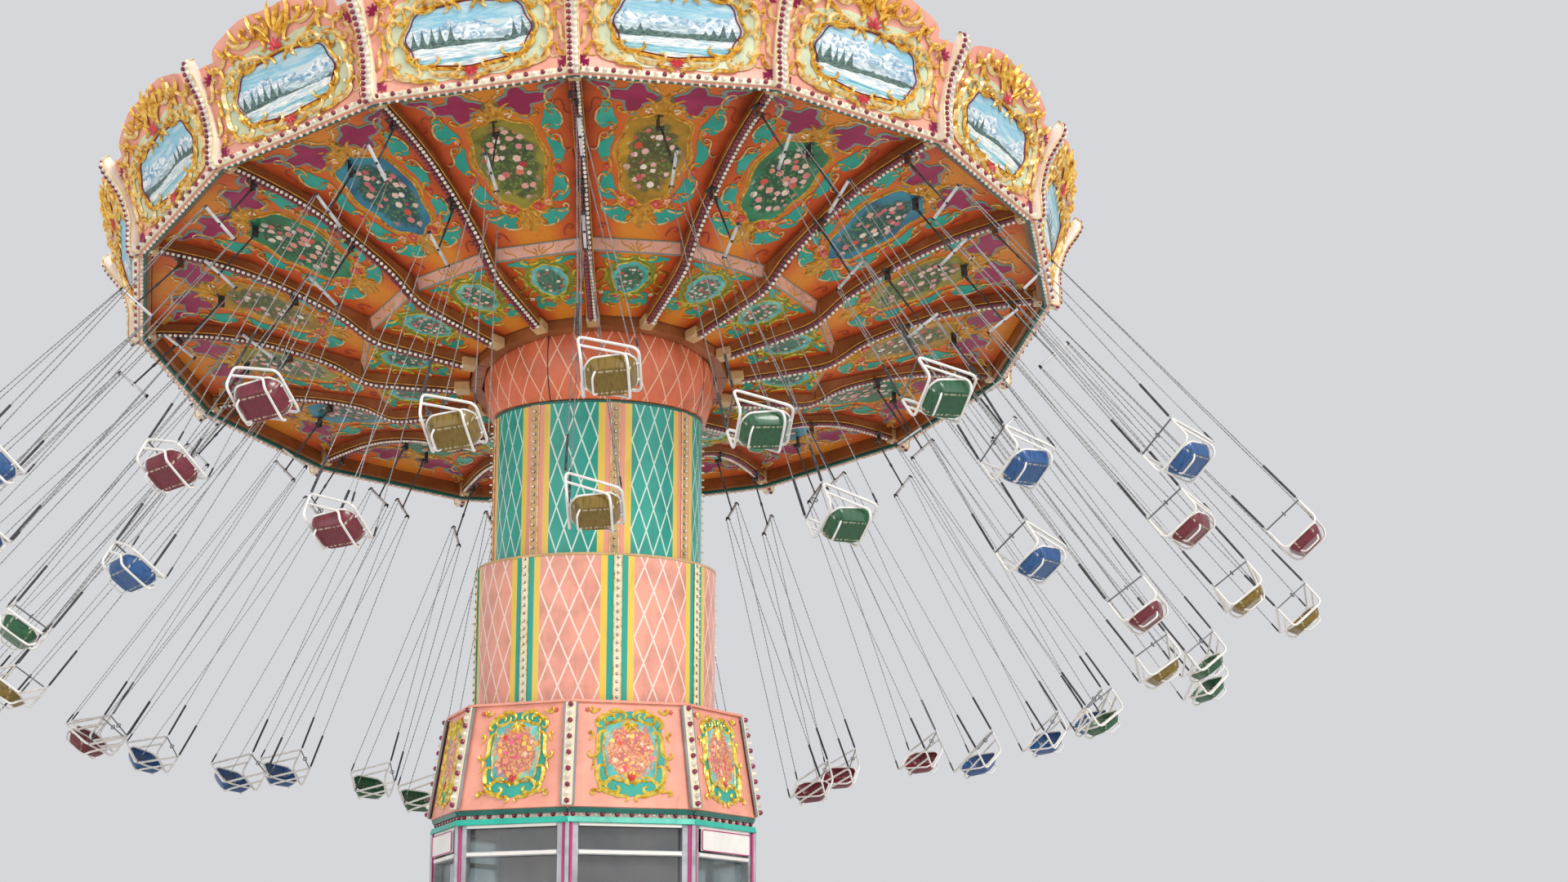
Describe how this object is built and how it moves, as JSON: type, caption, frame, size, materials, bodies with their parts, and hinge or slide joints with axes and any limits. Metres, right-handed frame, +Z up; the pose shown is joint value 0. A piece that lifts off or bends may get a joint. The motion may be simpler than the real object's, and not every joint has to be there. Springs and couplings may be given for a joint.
{
  "type": "chair swing ride",
  "caption": "Chair swing ride: a tilting, turning polygonal crown on a telescoping mast over an octagonal glazed booth, with rings of hanging chairs in flight.",
  "frame": {"origin": "on the ground under the middle of the tower", "axes": "+Z up along the tower; -Y towards the viewer of the picture; the crown leans back, rising towards -Y"},
  "size_m": [18.2511, 18.0133, 13.1467],
  "materials": {
    "core_paint": "maroon gloss paint",
    "booth_metal": "silver paint with magenta edges and white rails",
    "booth_glass": "clear window glass",
    "pink_boards": "painted picture boards, salmon pink with gold and teal",
    "pink_mast": "salmon pink gloss paint with a cream lattice",
    "teal_mast": "teal gloss paint with a white lattice",
    "head_paint": "terracotta gloss paint with a cream lattice",
    "bare_steel": "greased bare steel",
    "frame_paint": "tan and brown gloss paint",
    "ceiling_paint": "terracotta gloss paint with scrolls and cartouches",
    "picture_boards": "painted and gilded picture boards",
    "roof_cover": "pale painted sheet with standing seams",
    "seat_red": "red moulded seat on white tube",
    "seat_olive": "olive-gold moulded seat on white tube",
    "seat_green": "green moulded seat on white tube",
    "seat_blue": "blue moulded seat on white tube"
  },
  "bodies": {
    "base": {"pedestal": "core_paint", "booth_frame": "booth_metal", "booth_glass": "booth_glass", "skirt_boards": "pink_boards"},
    "outer_mast": {"outer_mast": "pink_mast"},
    "inner_mast": {"inner_mast": "teal_mast", "mast_head": "head_paint"},
    "tilt_table": {"tilt_table": "bare_steel"},
    "crown": {"crown_frame": "frame_paint", "soffit": "ceiling_paint", "rounding_boards": "picture_boards", "roof": "roof_cover"},
    "chair_outer_01": {"chair_outer_01": "seat_olive"},
    "chair_outer_02": {"chair_outer_02": "seat_green"},
    "chair_outer_03": {"chair_outer_03": "seat_blue"},
    "chair_outer_04": {"chair_outer_04": "seat_red"},
    "chair_outer_05": {"chair_outer_05": "seat_olive"},
    "chair_outer_06": {"chair_outer_06": "seat_green"},
    "chair_outer_07": {"chair_outer_07": "seat_blue"},
    "chair_outer_08": {"chair_outer_08": "seat_red"},
    "chair_outer_09": {"chair_outer_09": "seat_olive"},
    "chair_outer_10": {"chair_outer_10": "seat_green"},
    "chair_outer_11": {"chair_outer_11": "seat_blue"},
    "chair_outer_12": {"chair_outer_12": "seat_red"},
    "chair_outer_13": {"chair_outer_13": "seat_olive"},
    "chair_outer_14": {"chair_outer_14": "seat_green"},
    "chair_outer_15": {"chair_outer_15": "seat_blue"},
    "chair_outer_16": {"chair_outer_16": "seat_red"},
    "chair_middle_01": {"chair_middle_01": "seat_green"},
    "chair_middle_02": {"chair_middle_02": "seat_blue"},
    "chair_middle_03": {"chair_middle_03": "seat_red"},
    "chair_middle_04": {"chair_middle_04": "seat_olive"},
    "chair_middle_05": {"chair_middle_05": "seat_green"},
    "chair_middle_06": {"chair_middle_06": "seat_blue"},
    "chair_middle_07": {"chair_middle_07": "seat_red"},
    "chair_middle_08": {"chair_middle_08": "seat_olive"},
    "chair_middle_09": {"chair_middle_09": "seat_green"},
    "chair_middle_10": {"chair_middle_10": "seat_blue"},
    "chair_middle_11": {"chair_middle_11": "seat_red"},
    "chair_middle_12": {"chair_middle_12": "seat_olive"},
    "chair_middle_13": {"chair_middle_13": "seat_green"},
    "chair_middle_14": {"chair_middle_14": "seat_blue"},
    "chair_middle_15": {"chair_middle_15": "seat_red"},
    "chair_middle_16": {"chair_middle_16": "seat_olive"},
    "chair_inner_01": {"chair_inner_01": "seat_olive"},
    "chair_inner_02": {"chair_inner_02": "seat_green"},
    "chair_inner_03": {"chair_inner_03": "seat_blue"},
    "chair_inner_04": {"chair_inner_04": "seat_red"},
    "chair_inner_05": {"chair_inner_05": "seat_olive"},
    "chair_inner_06": {"chair_inner_06": "seat_green"},
    "chair_inner_07": {"chair_inner_07": "seat_blue"},
    "chair_inner_08": {"chair_inner_08": "seat_red"},
    "chair_inner_09": {"chair_inner_09": "seat_olive"},
    "chair_inner_10": {"chair_inner_10": "seat_green"},
    "chair_inner_11": {"chair_inner_11": "seat_blue"},
    "chair_inner_12": {"chair_inner_12": "seat_red"},
    "chair_inner_13": {"chair_inner_13": "seat_olive"},
    "chair_inner_14": {"chair_inner_14": "seat_green"},
    "chair_inner_15": {"chair_inner_15": "seat_blue"},
    "chair_inner_16": {"chair_inner_16": "seat_red"}
  },
  "joints": [
    {"name": "outer_mast_lift", "type": "slide", "parent": "base", "child": "outer_mast", "axis": [0, 0, 1], "range_m": [-1.8, 0]},
    {"name": "inner_mast_lift", "type": "slide", "parent": "outer_mast", "child": "inner_mast", "axis": [0, 0, 1], "range_m": [-1.8, 0]},
    {"name": "crown_tilt", "type": "hinge", "parent": "inner_mast", "child": "tilt_table", "pos_m": [0, 0, 9.52], "axis": [-0.9868, -0.1621, 0], "range_deg": [-13.2, 0]},
    {"name": "crown_spin", "type": "hinge", "parent": "tilt_table", "child": "crown", "pos_m": [0, 0, 9.52], "axis": [-0.037, 0.2253, 0.9736], "continuous": true},
    {"name": "chair_outer_01_swing", "type": "hinge", "parent": "crown", "child": "chair_outer_01", "pos_m": [-0.2989, -4.9777, 11.48754], "axis": [-0.9965, -0.0809, -0.0192], "range_deg": [-29.07, 3]},
    {"name": "chair_outer_02_swing", "type": "hinge", "parent": "crown", "child": "chair_outer_02", "pos_m": [1.7458, -4.66847, 11.49372], "axis": [-0.848, -0.5225, 0.0887], "range_deg": [-29.6, 3.06]},
    {"name": "chair_outer_03_swing", "type": "hinge", "parent": "crown", "child": "chair_outer_03", "pos_m": [3.52018, -3.6209, 11.31874], "axis": [-0.5364, -0.8265, 0.1709], "range_deg": [-32.13, 3.32]},
    {"name": "chair_outer_04_swing", "type": "hinge", "parent": "crown", "child": "chair_outer_04", "pos_m": [4.7541, -1.99446, 10.98923], "axis": [-0.168, -0.9618, 0.2162], "range_deg": [-36.02, 3.72]},
    {"name": "chair_outer_05_swing", "type": "hinge", "parent": "crown", "child": "chair_outer_05", "pos_m": [5.25972, -0.03677, 10.55536], "axis": [0.1903, -0.9548, 0.2282], "range_deg": [-40.59, 4.19]},
    {"name": "chair_outer_06_swing", "type": "hinge", "parent": "crown", "child": "chair_outer_06", "pos_m": [4.96006, 1.95413, 10.08318], "axis": [0.509, -0.8341, 0.2124], "range_deg": [-45.33, 4.68]},
    {"name": "chair_outer_07_swing", "type": "hinge", "parent": "crown", "child": "chair_outer_07", "pos_m": [3.90074, 3.67515, 9.64458], "axis": [0.7677, -0.6172, 0.172], "range_deg": [-49.71, 5.13]},
    {"name": "chair_outer_08_swing", "type": "hinge", "parent": "crown", "child": "chair_outer_08", "pos_m": [2.24303, 4.86428, 9.30632], "axis": [0.9408, -0.3205, 0.11], "range_deg": [-53.13, 5.48]},
    {"name": "chair_outer_09_swing", "type": "hinge", "parent": "crown", "child": "chair_outer_09", "pos_m": [0.2393, 5.34048, 9.11992], "axis": [0.9991, 0.027, 0.0317], "range_deg": [-54.97, 5.67]},
    {"name": "chair_outer_10_swing", "type": "hinge", "parent": "crown", "child": "chair_outer_10", "pos_m": [-1.8054, 5.03125, 9.11374], "axis": [0.9242, 0.3783, -0.0524], "range_deg": [-54.8, 5.66]},
    {"name": "chair_outer_11_swing", "type": "hinge", "parent": "crown", "child": "chair_outer_11", "pos_m": [-3.57978, 3.98368, 9.28872], "axis": [0.7224, 0.6792, -0.1297], "range_deg": [-52.6, 5.43]},
    {"name": "chair_outer_12_swing", "type": "hinge", "parent": "crown", "child": "chair_outer_12", "pos_m": [-4.81371, 2.35724, 9.61823], "axis": [0.4237, 0.8859, -0.1889], "range_deg": [-48.78, 5.04]},
    {"name": "chair_outer_13_swing", "type": "hinge", "parent": "crown", "child": "chair_outer_13", "pos_m": [-5.31933, 0.39955, 10.0521], "axis": [0.0673, 0.9726, -0.2225], "range_deg": [-44, 4.54]},
    {"name": "chair_outer_14_swing", "type": "hinge", "parent": "crown", "child": "chair_outer_14", "pos_m": [-5.01967, -1.59135, 10.52428], "axis": [-0.3081, 0.9242, -0.2256], "range_deg": [-38.95, 4.02]},
    {"name": "chair_outer_15_swing", "type": "hinge", "parent": "crown", "child": "chair_outer_15", "pos_m": [-3.96034, -3.31237, 10.96289], "axis": [-0.6588, 0.727, -0.1933], "range_deg": [-34.31, 3.54]},
    {"name": "chair_outer_16_swing", "type": "hinge", "parent": "crown", "child": "chair_outer_16", "pos_m": [-2.30263, -4.5015, 11.30114], "axis": [-0.9182, 0.3768, -0.1221], "range_deg": [-30.78, 3.18]},
    {"name": "chair_middle_01_swing", "type": "hinge", "parent": "crown", "child": "chair_middle_01", "pos_m": [0.6496, -4.33334, 11.4207], "axis": [-0.9478, -0.3168, 0.0373], "range_deg": [-25.75, 2.66]},
    {"name": "chair_middle_02_swing", "type": "hinge", "parent": "crown", "child": "chair_middle_02", "pos_m": [2.37614, -3.71996, 11.34439], "axis": [-0.6931, -0.7077, 0.1374], "range_deg": [-27.37, 2.83]},
    {"name": "chair_middle_03_swing", "type": "hinge", "parent": "crown", "child": "chair_middle_03", "pos_m": [3.73614, -2.51109, 11.11631], "axis": [-0.3327, -0.9214, 0.2006], "range_deg": [-30.7, 3.17]},
    {"name": "chair_middle_04_swing", "type": "hinge", "parent": "crown", "child": "chair_middle_04", "pos_m": [4.52256, -0.89076, 10.7712], "axis": [0.0362, -0.9733, 0.2266], "range_deg": [-35.01, 3.61]},
    {"name": "chair_middle_05_swing", "type": "hinge", "parent": "crown", "child": "chair_middle_05", "pos_m": [4.61567, 0.89433, 10.36159], "axis": [0.3721, -0.9011, 0.2227], "range_deg": [-39.72, 4.1]},
    {"name": "chair_middle_06_swing", "type": "hinge", "parent": "crown", "child": "chair_middle_06", "pos_m": [4.0013, 2.57243, 9.94984], "axis": [0.6566, -0.729, 0.1937], "range_deg": [-44.31, 4.57]},
    {"name": "chair_middle_07_swing", "type": "hinge", "parent": "crown", "child": "chair_middle_07", "pos_m": [2.77297, 3.88805, 9.59864], "axis": [0.8701, -0.472, 0.1423], "range_deg": [-48.26, 4.98]},
    {"name": "chair_middle_08_swing", "type": "hinge", "parent": "crown", "child": "chair_middle_08", "pos_m": [1.11769, 4.64092, 9.36145], "axis": [0.986, -0.1503, 0.0723], "range_deg": [-50.96, 5.26]},
    {"name": "chair_middle_09_swing", "type": "hinge", "parent": "crown", "child": "chair_middle_09", "pos_m": [-0.71253, 4.7164, 9.27438], "axis": [0.9798, 0.1998, -0.009], "range_deg": [-51.84, 5.35]},
    {"name": "chair_middle_10_swing", "type": "hinge", "parent": "crown", "child": "chair_middle_10", "pos_m": [-2.43907, 4.10302, 9.3507], "axis": [0.8444, 0.5282, -0.0901], "range_deg": [-50.67, 5.23]},
    {"name": "chair_middle_11_swing", "type": "hinge", "parent": "crown", "child": "chair_middle_11", "pos_m": [-3.79907, 2.89415, 9.57877], "axis": [0.5973, 0.786, -0.1592], "range_deg": [-47.64, 4.92]},
    {"name": "chair_middle_12_swing", "type": "hinge", "parent": "crown", "child": "chair_middle_12", "pos_m": [-4.58549, 1.27382, 9.92388], "axis": [0.2724, 0.9396, -0.2071], "range_deg": [-43.3, 4.47]},
    {"name": "chair_middle_13_swing", "type": "hinge", "parent": "crown", "child": "chair_middle_13", "pos_m": [-4.6786, -0.51127, 10.33349], "axis": [-0.0942, 0.9691, -0.2279], "range_deg": [-38.33, 3.96]},
    {"name": "chair_middle_14_swing", "type": "hinge", "parent": "crown", "child": "chair_middle_14", "pos_m": [-4.06423, -2.18936, 10.74524], "axis": [-0.4658, 0.858, -0.2163], "range_deg": [-33.37, 3.45]},
    {"name": "chair_middle_15_swing", "type": "hinge", "parent": "crown", "child": "chair_middle_15", "pos_m": [-2.8359, -3.50499, 11.09645], "axis": [-0.7911, 0.5886, -0.1663], "range_deg": [-29.14, 3.01]},
    {"name": "chair_middle_16_swing", "type": "hinge", "parent": "crown", "child": "chair_middle_16", "pos_m": [-1.18063, -4.25786, 11.33363], "axis": [-0.983, 0.1671, -0.0761], "range_deg": [-26.37, 2.72]},
    {"name": "chair_inner_01_swing", "type": "hinge", "parent": "crown", "child": "chair_inner_01", "pos_m": [-0.21727, -3.67914, 10.89737], "axis": [-0.9992, 0.0038, -0.0389], "range_deg": [-22.87, 2.36]},
    {"name": "chair_inner_02_swing", "type": "hinge", "parent": "crown", "child": "chair_inner_02", "pos_m": [1.28732, -3.45159, 10.90192], "axis": [-0.8741, -0.4794, 0.0777], "range_deg": [-23.15, 2.39]},
    {"name": "chair_inner_03_swing", "type": "hinge", "parent": "crown", "child": "chair_inner_03", "pos_m": [2.593, -2.68074, 10.77315], "axis": [-0.5569, -0.8136, 0.1671], "range_deg": [-25.58, 2.64]},
    {"name": "chair_inner_04_swing", "type": "hinge", "parent": "crown", "child": "chair_inner_04", "pos_m": [3.50098, -1.48393, 10.53068], "axis": [-0.181, -0.9596, 0.2152], "range_deg": [-29.44, 3.04]},
    {"name": "chair_inner_05_swing", "type": "hinge", "parent": "crown", "child": "chair_inner_05", "pos_m": [3.87304, -0.04336, 10.21142], "axis": [0.1778, -0.9572, 0.2283], "range_deg": [-34.02, 3.51]},
    {"name": "chair_inner_06_swing", "type": "hinge", "parent": "crown", "child": "chair_inner_06", "pos_m": [3.65254, 1.42164, 9.86397], "axis": [0.4938, -0.8429, 0.2139], "range_deg": [-38.78, 4]},
    {"name": "chair_inner_07_swing", "type": "hinge", "parent": "crown", "child": "chair_inner_07", "pos_m": [2.87303, 2.68805, 9.54122], "axis": [0.7513, -0.6362, 0.1758], "range_deg": [-43.2, 4.46]},
    {"name": "chair_inner_08_swing", "type": "hinge", "parent": "crown", "child": "chair_inner_08", "pos_m": [1.65321, 3.56307, 9.29232], "axis": [0.9284, -0.3526, 0.1169], "range_deg": [-46.72, 4.82]},
    {"name": "chair_inner_09_swing", "type": "hinge", "parent": "crown", "child": "chair_inner_09", "pos_m": [0.17876, 3.91348, 9.15515], "axis": [0.9989, -0.0182, 0.0422], "range_deg": [-48.72, 5.03]},
    {"name": "chair_inner_10_swing", "type": "hinge", "parent": "crown", "child": "chair_inner_10", "pos_m": [-1.32582, 3.68594, 9.15061], "axis": [0.9448, 0.3252, -0.0393], "range_deg": [-48.77, 5.03]},
    {"name": "chair_inner_11_swing", "type": "hinge", "parent": "crown", "child": "chair_inner_11", "pos_m": [-2.6315, 2.91508, 9.27937], "axis": [0.7696, 0.6278, -0.116], "range_deg": [-46.8, 4.83]},
    {"name": "chair_inner_12_swing", "type": "hinge", "parent": "crown", "child": "chair_inner_12", "pos_m": [-3.53948, 1.71827, 9.52184], "axis": [0.498, 0.8488, -0.1775], "range_deg": [-43.2, 4.46]},
    {"name": "chair_inner_13_swing", "type": "hinge", "parent": "crown", "child": "chair_inner_13", "pos_m": [-3.91154, 0.27771, 9.8411], "axis": [0.163, 0.9626, -0.2166], "range_deg": [-38.56, 3.98]},
    {"name": "chair_inner_14_swing", "type": "hinge", "parent": "crown", "child": "chair_inner_14", "pos_m": [-3.69104, -1.1873, 10.18855], "axis": [-0.2038, 0.9521, -0.2281], "range_deg": [-33.52, 3.46]},
    {"name": "chair_inner_15_swing", "type": "hinge", "parent": "crown", "child": "chair_inner_15", "pos_m": [-2.91154, -2.45371, 10.5113], "axis": [-0.5679, 0.7969, -0.206], "range_deg": [-28.74, 2.97]},
    {"name": "chair_inner_16_swing", "type": "hinge", "parent": "crown", "child": "chair_inner_16", "pos_m": [-1.69171, -3.32873, 10.7602], "axis": [-0.8689, 0.4739, -0.1427], "range_deg": [-24.92, 2.57]}
  ],
  "couplings": [
    {"joint": "inner_mast_lift", "follows": "outer_mast_lift", "ratio": 1},
    {"joint": "chair_outer_02_swing", "follows": "chair_outer_01_swing", "ratio": 1.0182},
    {"joint": "chair_outer_03_swing", "follows": "chair_outer_01_swing", "ratio": 1.1052},
    {"joint": "chair_outer_04_swing", "follows": "chair_outer_01_swing", "ratio": 1.2387},
    {"joint": "chair_outer_05_swing", "follows": "chair_outer_01_swing", "ratio": 1.3962},
    {"joint": "chair_outer_06_swing", "follows": "chair_outer_01_swing", "ratio": 1.5591},
    {"joint": "chair_outer_07_swing", "follows": "chair_outer_01_swing", "ratio": 1.7096},
    {"joint": "chair_outer_08_swing", "follows": "chair_outer_01_swing", "ratio": 1.8273},
    {"joint": "chair_outer_09_swing", "follows": "chair_outer_01_swing", "ratio": 1.8908},
    {"joint": "chair_outer_10_swing", "follows": "chair_outer_01_swing", "ratio": 1.885},
    {"joint": "chair_outer_11_swing", "follows": "chair_outer_01_swing", "ratio": 1.8091},
    {"joint": "chair_outer_12_swing", "follows": "chair_outer_01_swing", "ratio": 1.6777},
    {"joint": "chair_outer_13_swing", "follows": "chair_outer_01_swing", "ratio": 1.5133},
    {"joint": "chair_outer_14_swing", "follows": "chair_outer_01_swing", "ratio": 1.3396},
    {"joint": "chair_outer_15_swing", "follows": "chair_outer_01_swing", "ratio": 1.1799},
    {"joint": "chair_outer_16_swing", "follows": "chair_outer_01_swing", "ratio": 1.0585},
    {"joint": "chair_middle_01_swing", "follows": "chair_outer_01_swing", "ratio": 0.88558},
    {"joint": "chair_middle_02_swing", "follows": "chair_outer_01_swing", "ratio": 0.94133},
    {"joint": "chair_middle_03_swing", "follows": "chair_outer_01_swing", "ratio": 1.0558},
    {"joint": "chair_middle_04_swing", "follows": "chair_outer_01_swing", "ratio": 1.2042},
    {"joint": "chair_middle_05_swing", "follows": "chair_outer_01_swing", "ratio": 1.366},
    {"joint": "chair_middle_06_swing", "follows": "chair_outer_01_swing", "ratio": 1.5241},
    {"joint": "chair_middle_07_swing", "follows": "chair_outer_01_swing", "ratio": 1.66},
    {"joint": "chair_middle_08_swing", "follows": "chair_outer_01_swing", "ratio": 1.7527},
    {"joint": "chair_middle_09_swing", "follows": "chair_outer_01_swing", "ratio": 1.7832},
    {"joint": "chair_middle_10_swing", "follows": "chair_outer_01_swing", "ratio": 1.7429},
    {"joint": "chair_middle_11_swing", "follows": "chair_outer_01_swing", "ratio": 1.6386},
    {"joint": "chair_middle_12_swing", "follows": "chair_outer_01_swing", "ratio": 1.4894},
    {"joint": "chair_middle_13_swing", "follows": "chair_outer_01_swing", "ratio": 1.3181},
    {"joint": "chair_middle_14_swing", "follows": "chair_outer_01_swing", "ratio": 1.1479},
    {"joint": "chair_middle_15_swing", "follows": "chair_outer_01_swing", "ratio": 1.0021},
    {"joint": "chair_middle_16_swing", "follows": "chair_outer_01_swing", "ratio": 0.90708},
    {"joint": "chair_inner_01_swing", "follows": "chair_outer_01_swing", "ratio": 0.78656},
    {"joint": "chair_inner_02_swing", "follows": "chair_outer_01_swing", "ratio": 0.79612},
    {"joint": "chair_inner_03_swing", "follows": "chair_outer_01_swing", "ratio": 0.87965},
    {"joint": "chair_inner_04_swing", "follows": "chair_outer_01_swing", "ratio": 1.0124},
    {"joint": "chair_inner_05_swing", "follows": "chair_outer_01_swing", "ratio": 1.1701},
    {"joint": "chair_inner_06_swing", "follows": "chair_outer_01_swing", "ratio": 1.3338},
    {"joint": "chair_inner_07_swing", "follows": "chair_outer_01_swing", "ratio": 1.4859},
    {"joint": "chair_inner_08_swing", "follows": "chair_outer_01_swing", "ratio": 1.6068},
    {"joint": "chair_inner_09_swing", "follows": "chair_outer_01_swing", "ratio": 1.6757},
    {"joint": "chair_inner_10_swing", "follows": "chair_outer_01_swing", "ratio": 1.6773},
    {"joint": "chair_inner_11_swing", "follows": "chair_outer_01_swing", "ratio": 1.6098},
    {"joint": "chair_inner_12_swing", "follows": "chair_outer_01_swing", "ratio": 1.4858},
    {"joint": "chair_inner_13_swing", "follows": "chair_outer_01_swing", "ratio": 1.3261},
    {"joint": "chair_inner_14_swing", "follows": "chair_outer_01_swing", "ratio": 1.153},
    {"joint": "chair_inner_15_swing", "follows": "chair_outer_01_swing", "ratio": 0.98845},
    {"joint": "chair_inner_16_swing", "follows": "chair_outer_01_swing", "ratio": 0.85707}
  ]
}
